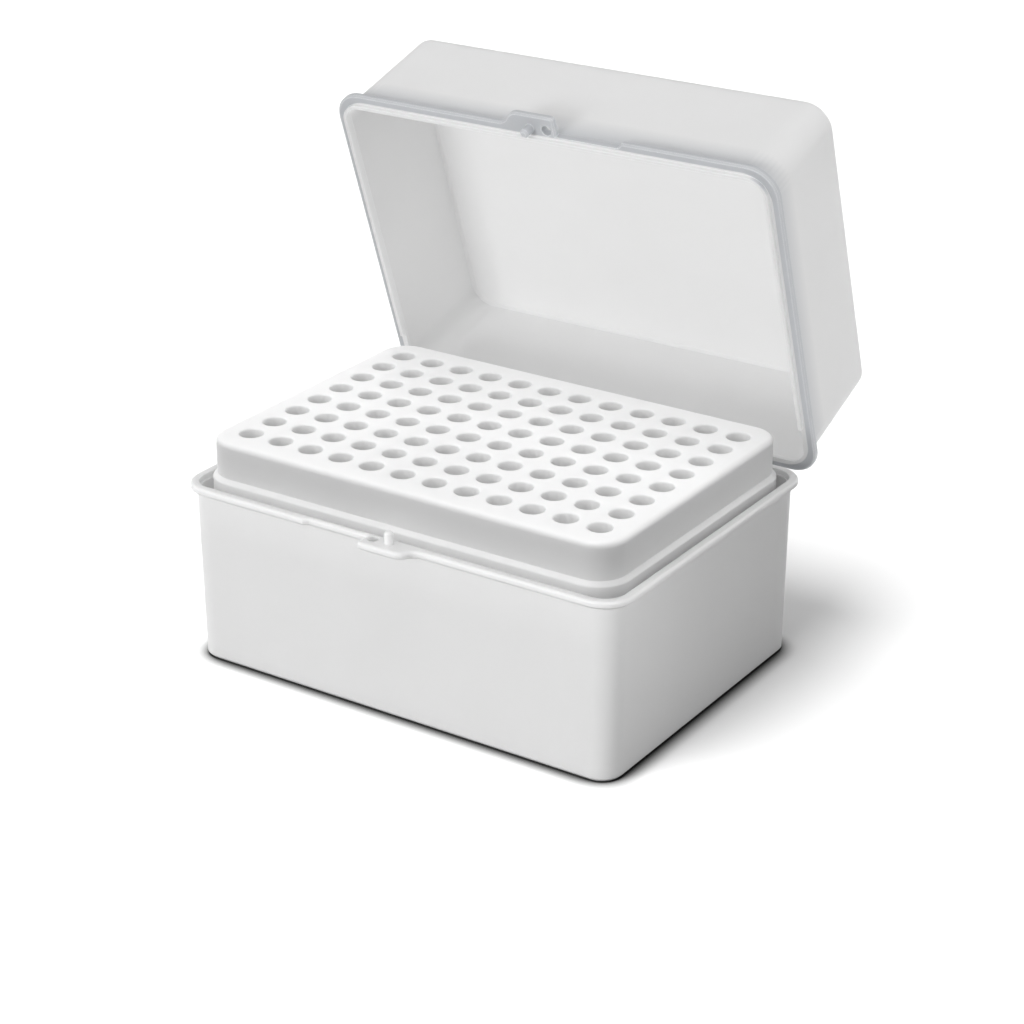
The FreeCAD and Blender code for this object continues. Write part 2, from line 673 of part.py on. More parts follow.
def swing_open(body):
    """Turn the closed lid back about the hinge rods to its open rest."""
    turn = "(-dims.open_angle * 1 deg)"
    body.setExpression("Placement.Rotation.Axis.x", "1")
    body.setExpression("Placement.Rotation.Axis.y", "0")
    body.setExpression("Placement.Rotation.Axis.z", "0")
    body.setExpression("Placement.Rotation.Angle", "-dims.open_angle * 1 deg")
    shift_y = f"{AXIS_Y} - {AXIS_Y} * cos({turn}) + {AXIS_Z} * sin({turn})"
    shift_z = f"{AXIS_Z} - {AXIS_Y} * sin({turn}) - {AXIS_Z} * cos({turn})"
    body.setExpression("Placement.Base.y", shift_y)
    body.setExpression("Placement.Base.z", shift_z)


base = build_base()
lid = build_lid()
tip_rack = build_tip_rack()
swing_open(lid)
doc.recompute()

for thing in doc.Objects:
    if {"Invalid", "Error"} & set(thing.State):
        raise RuntimeError(f"{thing.Label} did not build: {thing.State}")
for body in (base, lid, tip_rack):
    if body.Shape.isNull() or not body.Shape.isValid() or len(body.Shape.Solids) != 1:
        raise RuntimeError(f"{body.Label} is not one sound solid")
    body.Shape.exportStep(f"parts/{body.Label}.step")
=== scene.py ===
import json
import math

import bmesh
import bpy
from mathutils import Matrix, Vector


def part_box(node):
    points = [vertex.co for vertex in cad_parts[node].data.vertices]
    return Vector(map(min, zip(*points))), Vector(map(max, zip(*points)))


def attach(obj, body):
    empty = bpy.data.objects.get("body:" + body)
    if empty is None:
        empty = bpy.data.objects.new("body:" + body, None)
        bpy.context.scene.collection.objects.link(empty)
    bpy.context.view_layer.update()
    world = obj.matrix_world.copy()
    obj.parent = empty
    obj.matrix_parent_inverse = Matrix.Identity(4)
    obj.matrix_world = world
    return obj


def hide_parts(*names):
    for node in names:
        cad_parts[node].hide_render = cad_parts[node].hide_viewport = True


# Box for pipette tips: a frosted base tub with a hinged lid, and the white rack
# that rests in it.  Metres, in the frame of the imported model: the foot's centre
# is the origin, +Z is up, the latch is at -Y and the hinge at +Y.

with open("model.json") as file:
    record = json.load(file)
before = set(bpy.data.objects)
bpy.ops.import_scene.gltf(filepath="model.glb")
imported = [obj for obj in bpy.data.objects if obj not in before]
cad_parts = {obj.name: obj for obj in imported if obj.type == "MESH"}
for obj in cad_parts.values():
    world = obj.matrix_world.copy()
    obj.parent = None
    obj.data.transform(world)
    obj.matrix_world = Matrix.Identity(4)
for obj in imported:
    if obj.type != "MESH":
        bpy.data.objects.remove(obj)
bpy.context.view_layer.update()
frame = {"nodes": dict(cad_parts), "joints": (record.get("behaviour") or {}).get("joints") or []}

MM = 0.001

# ------------------------------------------------------------------- sizes
# Hole field of the rack: the 96-place format, with rounded lips and collars.
PITCH = 9.0 * MM
COLUMNS = 12
ROWS = 8
HOLE_RADIUS = 2.92 * MM
HOLE_ROUND = 0.36 * MM
COLLAR_DEPTH = 8.0 * MM
COLLAR_WALL = 0.8 * MM

# Section of the rack: plate, skirt, shoulder and the skirt's foot.
PLATE_THICK = 2.0 * MM
PLATE_EDGE = 1.4 * MM
SKIRT_WALL = 1.3 * MM
SKIRT_ROUND = 0.3 * MM
SHOULDER_DROP = 9.24 * MM
SHOULDER_LEDGE = 1.1 * MM
SHOULDER_ROOT = 0.15 * MM
SHOULDER_ROUND = 0.40 * MM
RACK_CORNER = 8.4 * MM

# Ribs crossed under the plate; the bond is how far they run into plate and skirt.
RIB_THICK = 1.2 * MM
RIB_DEPTH = 8.0 * MM
RIB_BOND = 0.08 * MM

# Steps of the mesh.
CELL_STEPS = 8                  # boundary points along one side of a hole's cell
LIP_STEPS = 3                   # steps round a hole's lip
SECTION_STEPS = LIP_STEPS + 6   # points of a cell's section, from square to square
PLATE_EDGE_STEPS = 6
SMALL_ROUND_STEPS = 3
SHARP_ANGLE = 35                # degrees; softer edges than this are shaded smooth
WELD = 0.01 * MM

# Lid's outer wall at its rim, as half sizes, and the fade of the painted shade on its flange.
LID_WALL = (60.5 * MM, 43.4 * MM)
LID_CORNER = 7.6 * MM
FLANGE_SHADE_FADE = (0.30 * MM, 0.05 * MM)

# Polypropylene: its index of refraction, how deep light soaks in, and how wide
# the clouds of its tint and the grain of its surface are.
POLYPROPYLENE_IOR = 1.49
MILKY_DEPTH = 2.5 * MM
WHITE_DEPTH = 1.5 * MM
MILKY_CLOUD = 30 * MM
WHITE_CLOUD = 18 * MM
ERODED_GRAIN = 0.35 * MM
POLISHED_GRAIN = 0.5 * MM
GRAIN_HEIGHT = 0.02 * MM
MOULDED_EDGE = 0.45 * MM        # rounding that a mould gives every edge
EDGE_COSINES = (0.99, 0.80)     # between flat and rounded face: the painted edge highlight starts, is full
BASE_EDGE_HIGHLIGHT = 0.25                # share of the painted edge highlight, a paler tint
LID_EDGE_HIGHLIGHT = 0.75


# ----------------------------------------------------------------- helpers
def linear(code):
    """Linear colour of an sRGB hex code."""
    channels = [int(code[i:i + 2], 16) / 255 for i in (1, 3, 5)]
    return [
        c / 12.92 if c <= 0.04045 else ((c + 0.055) / 1.055) ** 2.4 for c in channels
    ] + [1.0]


def feed(tree, node, links):
    """Gives a node's inputs, by name or number, a value or another node's output."""
    for key, value in links.items():
        if isinstance(value, bpy.types.NodeSocket):
            tree.links.new(value, node.inputs[key])
        else:
            node.inputs[key].default_value = value


def add_node(tree, kind, settings=None, links=None):
    """Adds a node with its settings and what its inputs take."""
    node = tree.nodes.new(kind)
    for name, value in (settings or {}).items():
        setattr(node, name, value)
    feed(tree, node, links or {})
    return node


def place(name, verts, faces):
    """Puts a mesh of its own in the scene."""
    mesh = bpy.data.meshes.new(name)
    mesh.from_pydata(verts, [], faces)
    thing = bpy.data.objects.new(name, mesh)
    bpy.context.scene.collection.objects.link(thing)
    return thing


def outward(thing):
    """Welds a closed mesh, turns its faces outwards and smooths its rounds."""
    shape = bmesh.new()
    shape.from_mesh(thing.data)
    bmesh.ops.remove_doubles(shape, verts=shape.verts, dist=WELD)
    bmesh.ops.recalc_face_normals(shape, faces=shape.faces)
    if shape.calc_volume(signed=True) < 0:
        bmesh.ops.reverse_faces(shape, faces=shape.faces)
    shape.to_mesh(thing.data)
    shape.free()
    thing.data.shade_smooth()
    thing.data.set_sharp_from_angle(angle=math.radians(SHARP_ANGLE))


# --------------------------------------------------------------- materials
def beyond_lid_wall(tree, place_in):
    """1 on the lid's flange, tab and clips, which stand out from its wall, else 0.
    The place is turned shut about the hinge first, so that the wall is upright."""
    hinge = frame["joints"][0]
    pivot = Vector(hinge["pos_m"])
    shut = math.radians(hinge["range_deg"][1])
    any_height = 1.0
    level = add_node(tree, "ShaderNodeMapping", {}, {
        "Vector": place_in, "Rotation": (shut, 0, 0),
        "Location": pivot - Matrix.Rotation(shut, 3, "X") @ pivot,
    })
    mirrored = add_node(tree, "ShaderNodeVectorMath", {"operation": "ABSOLUTE"}, {
        0: level.outputs["Vector"],
    })
    past = add_node(tree, "ShaderNodeVectorMath", {"operation": "SUBTRACT"}, {
        0: mirrored.outputs["Vector"],
        1: (LID_WALL[0] - LID_CORNER, LID_WALL[1] - LID_CORNER, any_height),
    })
    outside = add_node(tree, "ShaderNodeVectorMath", {"operation": "MAXIMUM"}, {
        0: past.outputs["Vector"],
    })
    reach = add_node(tree, "ShaderNodeVectorMath", {"operation": "LENGTH"}, {
        0: outside.outputs["Vector"],
    })
    return add_node(tree, "ShaderNodeMapRange", {}, {
        "Value": reach.outputs["Value"],
        "From Min": LID_CORNER - FLANGE_SHADE_FADE[0],
        "From Max": LID_CORNER - FLANGE_SHADE_FADE[1],
    }).outputs["Result"]


def painted_edge_highlight(tree, rounded, edge_highlight_share):
    """Painted highlight along a piece's edges, where the rounded normal leaves the flat one."""
    flat = add_node(tree, "ShaderNodeNewGeometry").outputs["Normal"]
    agree = add_node(tree, "ShaderNodeVectorMath", {"operation": "DOT_PRODUCT"}, {
        0: flat, 1: rounded.outputs["Normal"],
    })
    return add_node(tree, "ShaderNodeMapRange", {}, {
        "Value": agree.outputs["Value"], "To Min": 0.0, "To Max": edge_highlight_share,
        "From Min": EDGE_COSINES[0], "From Max": EDGE_COSINES[1],
    }).outputs["Result"]


def frosted_polypropylene(name, edge_highlight_share, flange_painted_shade=False):
    """Frosted natural polypropylene: milky and translucent, so that light soaks
    into the thin walls, and its spark-eroded mould face keeps highlights soft.
    Its edges get a painted highlight, a paler tint, and the lid's flange can get a painted
    shade, a greyer tint."""
    material = bpy.data.materials.new(name)
    material.use_nodes = True
    tree = material.node_tree
    place_in = add_node(tree, "ShaderNodeTexCoord").outputs["Object"]
    # The resin flows in clouds a few centimetres wide, which barely show.
    cloud = add_node(tree, "ShaderNodeTexNoise", {}, {
        "Vector": place_in, "Scale": 1 / MILKY_CLOUD, "Detail": 3.0, "Roughness": 0.5,
    })
    colour = add_node(tree, "ShaderNodeMix", {"data_type": "RGBA"}, {
        "Factor": cloud.outputs["Fac"], "A": linear("#e4e4e4"), "B": linear("#eaeaea"),
    }).outputs["Result"]
    # Painted shade: the lid's flange, tab and clips, which stand out from its wall, are tinted
    # greyer.
    if flange_painted_shade:
        colour = add_node(tree, "ShaderNodeMix", {"data_type": "RGBA"}, {
            "Factor": beyond_lid_wall(tree, place_in), "A": colour, "B": linear("#c3c5c8"),
        }).outputs["Result"]
    rounded = add_node(tree, "ShaderNodeBevel", {"samples": 6}, {"Radius": MOULDED_EDGE})
    # Painted highlight: a paler tint along the edges, where the bevel normal leaves the flat
    # one.
    lit = add_node(tree, "ShaderNodeMix", {"data_type": "RGBA"}, {
        "Factor": painted_edge_highlight(tree, rounded, edge_highlight_share), "A": colour, "B": linear("#f6f8f9"),
    })
    # An eroded grain is about 0.05 mm wide; it is drawn coarser so that it shows.
    grain = add_node(tree, "ShaderNodeTexNoise", {}, {
        "Vector": place_in, "Scale": 1 / ERODED_GRAIN, "Detail": 2.0, "Roughness": 0.6,
    })
    bump = add_node(tree, "ShaderNodeBump", {}, {
        "Strength": 0.12, "Distance": GRAIN_HEIGHT, "Height": grain.outputs["Fac"],
        "Normal": rounded.outputs["Normal"],
    })
    feed(tree, tree.nodes["Principled BSDF"], {
        "Base Color": lit.outputs["Result"], "Normal": bump.outputs["Normal"],
        "Roughness": 0.42, "IOR": POLYPROPYLENE_IOR, "Subsurface Weight": 1.0,
        "Subsurface Radius": (1.0, 1.0, 1.0), "Subsurface Scale": MILKY_DEPTH,
    })
    return material


def white_polypropylene():
    """Opaque white polypropylene, moulded against a fine polished face: clean
    white with a soft gloss along its rounded edges."""
    material = bpy.data.materials.new("white_moulded_polypropylene")
    material.use_nodes = True
    tree = material.node_tree
    place_in = add_node(tree, "ShaderNodeTexCoord").outputs["Object"]
    # The pigment is spread a little unevenly, over about two holes.
    cloud = add_node(tree, "ShaderNodeTexNoise", {}, {
        "Vector": place_in, "Scale": 1 / WHITE_CLOUD, "Detail": 2.0, "Roughness": 0.5,
    })
    tint = add_node(tree, "ShaderNodeMix", {"data_type": "RGBA"}, {
        "Factor": cloud.outputs["Fac"], "A": linear("#f8f8f7"), "B": linear("#fcfcfc"),
    })
    # Polishing marks are finer than 0.1 mm; they are drawn coarser so that they show.
    grain = add_node(tree, "ShaderNodeTexNoise", {}, {
        "Vector": place_in, "Scale": 1 / POLISHED_GRAIN, "Detail": 2.0, "Roughness": 0.6,
    })
    bump = add_node(tree, "ShaderNodeBump", {}, {
        "Strength": 0.08, "Distance": GRAIN_HEIGHT, "Height": grain.outputs["Fac"],
    })
    feed(tree, tree.nodes["Principled BSDF"], {
        "Base Color": tint.outputs["Result"], "Normal": bump.outputs["Normal"],
        "Roughness": 0.38, "IOR": POLYPROPYLENE_IOR, "Subsurface Weight": 1.0,
        "Subsurface Radius": (1.0, 1.0, 1.0), "Subsurface Scale": WHITE_DEPTH,
    })
    return material


FROSTED = {
    "base": frosted_polypropylene("frosted_natural_polypropylene", BASE_EDGE_HIGHLIGHT),
    "lid": frosted_polypropylene(
        "frosted_natural_polypropylene_thin_flange", LID_EDGE_HIGHLIGHT, flange_painted_shade=True,
    ),
}
WHITE = white_polypropylene()


# ---------------------------------------------------------------- tip rack
def cell_offsets():
    """Where a cell's spokes meet one of its sides, as shares of half a pitch."""
    turn = math.pi / 2 / CELL_STEPS
    return [math.tan(-math.pi / 4 + turn * step) for step in range(CELL_STEPS)]


def side_points(cells):
    """Distances along a side of the hole field, from its middle, without its end."""
    half = PITCH / 2
    first = -(cells - 1) * half
    return [
        first + cell * PITCH + share * half
        for cell in range(cells) for share in cell_offsets()
    ]


def field_ring(height):
    """Outline of the hole field, with a point wherever a cell's spoke ends."""
    wide, deep = COLUMNS * PITCH / 2, ROWS * PITCH / 2
    along, across = side_points(COLUMNS), side_points(ROWS)
    ring = [(x, -deep) for x in along] + [(wide, y) for y in across]
    ring += [(-x, deep) for x in along] + [(-wide, -y) for y in across]
    return [(x, y, height) for x, y in ring]


def rounded_ring(half_x, half_y, corner, height):
    """Rounded rectangle with as many points as the outline of the hole field."""
    ring = []
    sides = [(COLUMNS, half_x, half_y), (ROWS, half_y, half_x)] * 2
    for quarter, (cells, half_along, half_out) in enumerate(sides):
        turn = quarter * math.pi / 2
        straight = half_along - corner
        field = (cells - 2) * PITCH / 2
        for index, offset in enumerate(side_points(cells)):
            from_start = index / CELL_STEPS
            from_end = cells - from_start
            bend = 1 - min(from_start, from_end)
            if bend > 0:
                side = -1 if from_start < from_end else 1
                angle = bend * math.pi / 4
                u = side * (straight + corner * math.sin(angle))
                v = -half_out + corner * (1 - math.cos(angle))
            else:
                u = offset / field * straight
                v = -half_out
            x = u * math.cos(turn) - v * math.sin(turn)
            y = u * math.sin(turn) + v * math.cos(turn)
            ring.append((x, y, height))
    return ring


def arc_steps(count):
    """Angles from 0 to a quarter turn in equal steps."""
    return [math.pi / 2 * step / count for step in range(count + 1)]


def rack_section(top, seat):
    """Rack wall as (distance in from the widest outline, height), from the top
    plate's edge down the outside and back up the inside."""
    shoulder = top - SHOULDER_DROP
    plate = SHOULDER_LEDGE
    points = []
    for angle in arc_steps(PLATE_EDGE_STEPS):
        points.append((
            plate + PLATE_EDGE * (1 - math.sin(angle)),
            top - PLATE_EDGE * (1 - math.cos(angle)),
        ))
    for angle in arc_steps(SMALL_ROUND_STEPS):
        points.append((
            plate - SHOULDER_ROOT * (1 - math.cos(angle)),
            shoulder + SHOULDER_ROOT * (1 - math.sin(angle)),
        ))
    # The shoulder slopes down at 45 degrees and rounds into the wider skirt.
    slope = plate - SHOULDER_ROOT
    centre = shoulder - slope - SHOULDER_ROUND * math.tan(math.pi / 8)
    for angle in reversed(arc_steps(2 * SMALL_ROUND_STEPS)[:SMALL_ROUND_STEPS + 1]):
        points.append((
            SHOULDER_ROUND * (1 - math.cos(angle)),
            centre + SHOULDER_ROUND * math.sin(angle),
        ))
    for angle in arc_steps(SMALL_ROUND_STEPS):
        points.append((
            SKIRT_ROUND * (1 - math.cos(angle)),
            seat + SKIRT_ROUND * (1 - math.sin(angle)),
        ))
    points.append((SKIRT_WALL, seat))
    points.append((SKIRT_WALL, shoulder - SKIRT_WALL))
    points.append((plate + SKIRT_WALL, shoulder - SKIRT_WALL))
    points.append((plate + SKIRT_WALL, top - PLATE_THICK))
    return points


def rack_shell():
    """Rack without its holes: one band of faces from the hole field's outline on
    top, round the wall, to the same outline underneath."""
    low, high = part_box("tip_rack")
    rings = [field_ring(high.z)]
    for inset, height in rack_section(high.z, low.z):
        corner = RACK_CORNER - inset
        rings.append(rounded_ring(high.x - inset, high.y - inset, corner, height))
    rings.append(field_ring(high.z - PLATE_THICK))
    count = len(rings[0])
    verts = [point for ring in rings for point in ring]
    faces = []
    for row in range(len(rings) - 1):
        for index in range(count):
            following = (index + 1) % count
            one, two = row * count, (row + 1) * count
            faces.append((one + index, two + index, two + following, one + following))
    return place("tip_rack_moulding", verts, faces)


def hole_field_tree():
    """Geometry nodes that fill the shell with cells, each a square with a round
    hole that runs down into a collar, and hang the lattice of ribs between them."""
    tree = bpy.data.node_groups.new("hole_field", "GeometryNodeTree")
    face = tree.interface
    face.new_socket("Geometry", in_out="INPUT", socket_type="NodeSocketGeometry")
    for name, kind in (
        ("Columns", "NodeSocketInt"), ("Rows", "NodeSocketInt"), ("Pitch", "NodeSocketFloat"),
        ("Hole Radius", "NodeSocketFloat"), ("Lip Round", "NodeSocketFloat"),
        ("Plate Thickness", "NodeSocketFloat"), ("Plate Top", "NodeSocketFloat"),
        ("Collar Depth", "NodeSocketFloat"), ("Collar Wall", "NodeSocketFloat"),
        ("Rib Thickness", "NodeSocketFloat"), ("Rib Depth", "NodeSocketFloat"),
        ("Rib Length", "NodeSocketFloat"), ("Rib Width", "NodeSocketFloat"),
        ("Rib Bond", "NodeSocketFloat"), ("Material", "NodeSocketMaterial"),
    ):
        face.new_socket(name, in_out="INPUT", socket_type=kind)
    face.new_socket("Geometry", in_out="OUTPUT", socket_type="NodeSocketGeometry")
    given = add_node(tree, "NodeGroupInput").outputs

    # One cell: rows of the sheet are the steps of its section, columns its spokes.
    sheet = add_node(tree, "GeometryNodeMeshGrid", {}, {
        "Size X": SECTION_STEPS - 1.0, "Size Y": 1.0,
        "Vertices X": SECTION_STEPS, "Vertices Y": 4 * CELL_STEPS + 1,
    })
    where = add_node(tree, "ShaderNodeSeparateXYZ", {}, {
        "Vector": add_node(tree, "GeometryNodeInputPosition").outputs["Position"],
    })
    from_first = add_node(tree, "ShaderNodeMath", {"operation": "ADD"}, {
        0: where.outputs["X"], 1: (SECTION_STEPS - 1) / 2,
    })
    row = add_node(tree, "ShaderNodeMath", {"operation": "ROUND"}, {
        0: from_first.outputs["Value"],
    })
    angle = add_node(tree, "ShaderNodeMath", {"operation": "MULTIPLY_ADD"}, {
        0: where.outputs["Y"], 1: 2 * math.pi, 2: math.pi / 4,
    })
    cosine = add_node(tree, "ShaderNodeMath", {"operation": "COSINE"}, {
        0: angle.outputs["Value"],
    }).outputs["Value"]
    sine = add_node(tree, "ShaderNodeMath", {"operation": "SINE"}, {
        0: angle.outputs["Value"],
    }).outputs["Value"]

    # Distance of the cell's square side along each spoke.
    half = add_node(tree, "ShaderNodeMath", {"operation": "MULTIPLY"}, {
        0: given["Pitch"], 1: 0.5,
    })
    across = add_node(tree, "ShaderNodeMath", {"operation": "ABSOLUTE"}, {0: cosine})
    up = add_node(tree, "ShaderNodeMath", {"operation": "ABSOLUTE"}, {0: sine})
    larger = add_node(tree, "ShaderNodeMath", {"operation": "MAXIMUM"}, {
        0: across.outputs["Value"], 1: up.outputs["Value"],
    })
    square = add_node(tree, "ShaderNodeMath", {"operation": "DIVIDE"}, {
        0: half.outputs["Value"], 1: larger.outputs["Value"],
    }).outputs["Value"]

    # Steps of the section: the square, the rounded lip, the collar's foot, its
    # outside and the square again, on the plate's underside.
    wall, lip = given["Hole Radius"], given["Lip Round"]
    outside = add_node(tree, "ShaderNodeMath", {"operation": "ADD"}, {
        0: wall, 1: given["Collar Wall"],
    }).outputs["Value"]
    foot = add_node(tree, "ShaderNodeMath", {"operation": "MULTIPLY"}, {
        0: given["Collar Depth"], 1: -1.0,
    }).outputs["Value"]
    underside = add_node(tree, "ShaderNodeMath", {"operation": "MULTIPLY"}, {
        0: given["Plate Thickness"], 1: -1.0,
    }).outputs["Value"]
    radii, depths = [], []
    for turn in arc_steps(LIP_STEPS):
        radii.append(add_node(tree, "ShaderNodeMath", {"operation": "MULTIPLY_ADD"}, {
            0: lip, 1: 1 - math.sin(turn), 2: wall,
        }).outputs["Value"])
        depths.append(add_node(tree, "ShaderNodeMath", {"operation": "MULTIPLY"}, {
            0: lip, 1: math.cos(turn) - 1,
        }).outputs["Value"])
    section = []
    for steps in (
        [square, *radii, wall, outside, outside, square],
        [0.0, *depths, foot, foot, underside, underside],
    ):
        choice = add_node(tree, "GeometryNodeIndexSwitch", {"data_type": "FLOAT"})
        while len(choice.index_switch_items) < SECTION_STEPS:
            choice.index_switch_items.new()
        feed(tree, choice, {"Index": row.outputs["Value"], **dict(enumerate(steps, 1))})
        section.append(choice.outputs["Output"])
    reach, height = section
    x = add_node(tree, "ShaderNodeMath", {"operation": "MULTIPLY"}, {0: reach, 1: cosine})
    y = add_node(tree, "ShaderNodeMath", {"operation": "MULTIPLY"}, {0: reach, 1: sine})
    z = add_node(tree, "ShaderNodeMath", {"operation": "ADD"}, {
        0: height, 1: given["Plate Top"],
    })
    point = add_node(tree, "ShaderNodeCombineXYZ", {}, {
        "X": x.outputs["Value"], "Y": y.outputs["Value"], "Z": z.outputs["Value"],
    })
    cell = add_node(tree, "GeometryNodeSetPosition", {}, {
        "Geometry": sheet.outputs["Mesh"], "Position": point.outputs["Vector"],
    })

    def span(count, gaps):
        """Length of a row of points one pitch apart."""
        pitches = add_node(tree, "ShaderNodeMath", {"operation": "SUBTRACT"}, {
            0: count, 1: gaps,
        })
        return add_node(tree, "ShaderNodeMath", {"operation": "MULTIPLY"}, {
            0: pitches.outputs["Value"], 1: given["Pitch"],
        }).outputs["Value"]

    places = add_node(tree, "GeometryNodeMeshGrid", {}, {
        "Size X": span(given["Columns"], 1.0), "Size Y": span(given["Rows"], 1.0),
        "Vertices X": given["Columns"], "Vertices Y": given["Rows"],
    })
    cells = add_node(tree, "GeometryNodeInstanceOnPoints", {}, {
        "Points": places.outputs["Mesh"], "Instance": cell.outputs["Geometry"],
    })

    # Ribs: upright boards that start just inside the plate, one between each two
    # rows of holes.
    board = add_node(tree, "ShaderNodeMath", {"operation": "ADD"}, {
        0: given["Rib Depth"], 1: given["Rib Bond"],
    }).outputs["Value"]
    under_plate = add_node(tree, "ShaderNodeMath", {"operation": "SUBTRACT"}, {
        0: given["Plate Top"], 1: given["Plate Thickness"],
    })
    root = add_node(tree, "ShaderNodeMath", {"operation": "ADD"}, {
        0: under_plate.outputs["Value"], 1: given["Rib Bond"],
    })
    level = add_node(tree, "ShaderNodeMath", {"operation": "MULTIPLY_ADD"}, {
        0: board, 1: -0.5, 2: root.outputs["Value"],
    })
    lift = add_node(tree, "ShaderNodeCombineXYZ", {}, {"Z": level.outputs["Value"]})

    def boards(count, size_x, size_y, axis):
        """Equal boards in a row along an axis, one fewer than the holes."""
        size = add_node(tree, "ShaderNodeCombineXYZ", {}, {
            "X": size_x, "Y": size_y, "Z": board,
        })
        shape = add_node(tree, "GeometryNodeMeshCube", {}, {"Size": size.outputs["Vector"]})
        gaps = add_node(tree, "ShaderNodeMath", {"operation": "SUBTRACT"}, {0: count, 1: 1.0})
        line = {"Size X": 0.0, "Size Y": 0.0, "Vertices X": 1, "Vertices Y": 1}
        line[f"Size {axis}"] = span(count, 2.0)
        line[f"Vertices {axis}"] = gaps.outputs["Value"]
        row_of_points = add_node(tree, "GeometryNodeMeshGrid", {}, line)
        lifted = add_node(tree, "GeometryNodeSetPosition", {}, {
            "Geometry": row_of_points.outputs["Mesh"], "Offset": lift.outputs["Vector"],
        })
        return add_node(tree, "GeometryNodeInstanceOnPoints", {}, {
            "Points": lifted.outputs["Geometry"], "Instance": shape.outputs["Mesh"],
        }).outputs["Instances"]

    cross = boards(given["Columns"], given["Rib Thickness"], given["Rib Width"], "X")
    long = boards(given["Rows"], given["Rib Length"], given["Rib Thickness"], "Y")

    joined = add_node(tree, "GeometryNodeJoinGeometry")
    for part in (long, cross, cells.outputs["Instances"], given["Geometry"]):
        tree.links.new(part, joined.inputs["Geometry"])
    real = add_node(tree, "GeometryNodeRealizeInstances", {}, {
        "Geometry": joined.outputs["Geometry"],
    })
    welded = add_node(tree, "GeometryNodeMergeByDistance", {}, {
        "Geometry": real.outputs["Geometry"], "Distance": WELD,
    })
    painted = add_node(tree, "GeometryNodeSetMaterial", {}, {
        "Geometry": welded.outputs["Geometry"], "Material": given["Material"],
    })
    add_node(tree, "NodeGroupOutput", {}, {"Geometry": painted.outputs["Geometry"]})
    return tree


def run_nodes(thing, tree, values):
    """Runs a tree on a piece, with its inputs by name, and keeps the plain mesh."""
    modifier = thing.modifiers.new(tree.name, "NODES")
    modifier.node_group = tree
    for item in tree.interface.items_tree:
        if item.in_out == "INPUT" and item.name in values:
            modifier[item.identifier] = values[item.name]
    shown = thing.evaluated_get(bpy.context.evaluated_depsgraph_get())
    result = bpy.data.meshes.new_from_object(shown)
    thing.modifiers.remove(modifier)
    thing.data = result
    result.name = thing.name


def build_tip_rack():
    """The rack with its rounded holes, in place of the plain solid."""
    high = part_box("tip_rack")[1]
    rack = rack_shell()
    inner = SHOULDER_LEDGE + SKIRT_WALL - RIB_BOND
    run_nodes(rack, hole_field_tree(), {
        "Columns": COLUMNS, "Rows": ROWS, "Pitch": PITCH, "Hole Radius": HOLE_RADIUS,
        "Lip Round": HOLE_ROUND, "Plate Thickness": PLATE_THICK, "Plate Top": high.z,
        "Collar Depth": COLLAR_DEPTH, "Collar Wall": COLLAR_WALL,
        "Rib Thickness": RIB_THICK, "Rib Depth": RIB_DEPTH,
        "Rib Length": 2 * (high.x - inner), "Rib Width": 2 * (high.y - inner),
        "Rib Bond": RIB_BOND, "Material": WHITE,
    })
    outward(rack)
    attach(rack, "box")
    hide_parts("tip_rack")


build_tip_rack()
for name, finish in FROSTED.items():
    node = frame["nodes"][name]
    node.data.materials.clear()
    node.data.materials.append(finish)


# ------------------------------------------------------------------- studio
LEVEL = math.pi           # lamp strength at which a matt colour renders as written

# The room gives more light from the side of its windows: in front, left and above.
WINDOW_SIDE = (-0.45, -0.75, 0.50)
ROOM_DARKEST = 0.16
ROOM_LIGHTEST = 0.56

FLOOR_HALF = 3.0
TOUCH_REACH = 6 * MM      # how far out the painted contact shadow goes

CAMERA_SENSOR = 36.0
CAMERA_LENS = 92.22
CAMERA_AZIMUTH = 33.577
CAMERA_ELEVATION = 24.138
CAMERA_DISTANCE = 639.483 * MM
CAMERA_TARGET = Vector((3.964, 1.600, 37.8)) * MM


def light_only(lamp, lit, casters=None):
    """Limits a lamp to some things, and its shadows to those of the casters."""
    receivers = bpy.data.collections.new(lamp.name + "_lights")
    for thing in lit:
        receivers.objects.link(thing)
    lamp.light_linking.receiver_collection = receivers
    if casters:
        shading = bpy.data.collections.new(lamp.name + "_shades")
        for thing in casters:
            shading.objects.link(thing)
        lamp.light_linking.blocker_collection = shading


def add_sun(name, towards, level, softness, lit, casters=None):
    """Distant lamp in a direction, as wide as its softness in degrees."""
    data = bpy.data.lights.new(name, "SUN")
    data.energy = level * LEVEL
    data.angle = math.radians(softness)
    lamp = bpy.data.objects.new(name, data)
    lamp.rotation_euler = Vector(towards).to_track_quat("Z", "Y").to_euler()
    bpy.context.scene.collection.objects.link(lamp)
    light_only(lamp, lit, casters)


def add_softbox(name, spot, target, size, level, lit):
    """Square lamp that lights a surface facing it at its target to a level."""
    aim = Vector(target) - Vector(spot)
    data = bpy.data.lights.new(name, "AREA")
    data.shape = "SQUARE"
    data.size = size
    data.energy = level * LEVEL * math.pi * aim.length ** 2
    lamp = bpy.data.objects.new(name, data)
    lamp.location = spot
    lamp.rotation_euler = aim.to_track_quat("-Z", "Y").to_euler()
    bpy.context.scene.collection.objects.link(lamp)
    light_only(lamp, lit)


def seen_rays(tree):
    """1 for the rays that show the white surroundings, 0 for those that light."""
    ray = add_node(tree, "ShaderNodeLightPath").outputs
    mirrored = add_node(tree, "ShaderNodeMath", {"operation": "MAXIMUM"}, {
        0: ray["Is Glossy Ray"], 1: ray["Is Transmission Ray"],
    })
    return add_node(tree, "ShaderNodeMath", {"operation": "MAXIMUM"}, {
        0: ray["Is Camera Ray"], 1: mirrored.outputs["Value"],
    }).outputs["Value"]


